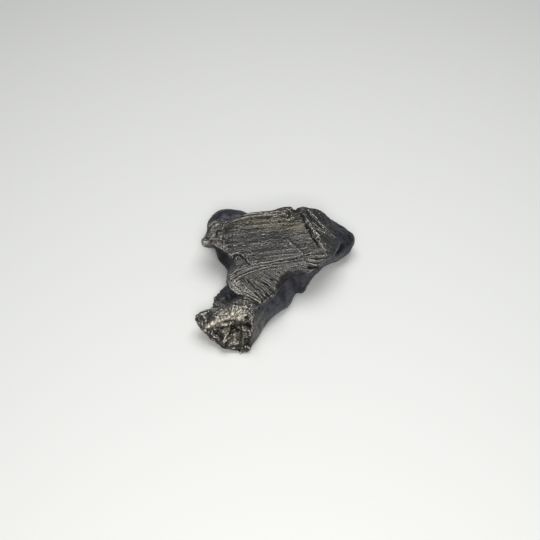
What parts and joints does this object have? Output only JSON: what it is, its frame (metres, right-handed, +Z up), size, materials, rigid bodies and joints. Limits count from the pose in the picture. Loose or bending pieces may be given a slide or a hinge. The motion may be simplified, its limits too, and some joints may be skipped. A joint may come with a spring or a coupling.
{
  "type": "shrapnel iron meteorite",
  "caption": "Torn, flattened iron meteorite fragment with a sheared striated top, an overhanging lobe and a ragged broken leg, resting flat.",
  "frame": {"origin": "middle of the box round the stone in plan, on the plane that it rests on", "axes": "+Z up from the resting plane, +Y along the stone from the torn end of the leg to the back, +X towards the tapered tip"},
  "size_m": [0.0418, 0.0441, 0.012],
  "materials": {
    "iron": "dark gunmetal, sheared and striated, with pale worn edges"
  },
  "bodies": {
    "root": {"meteorite": "iron"}
  },
  "joints": []
}
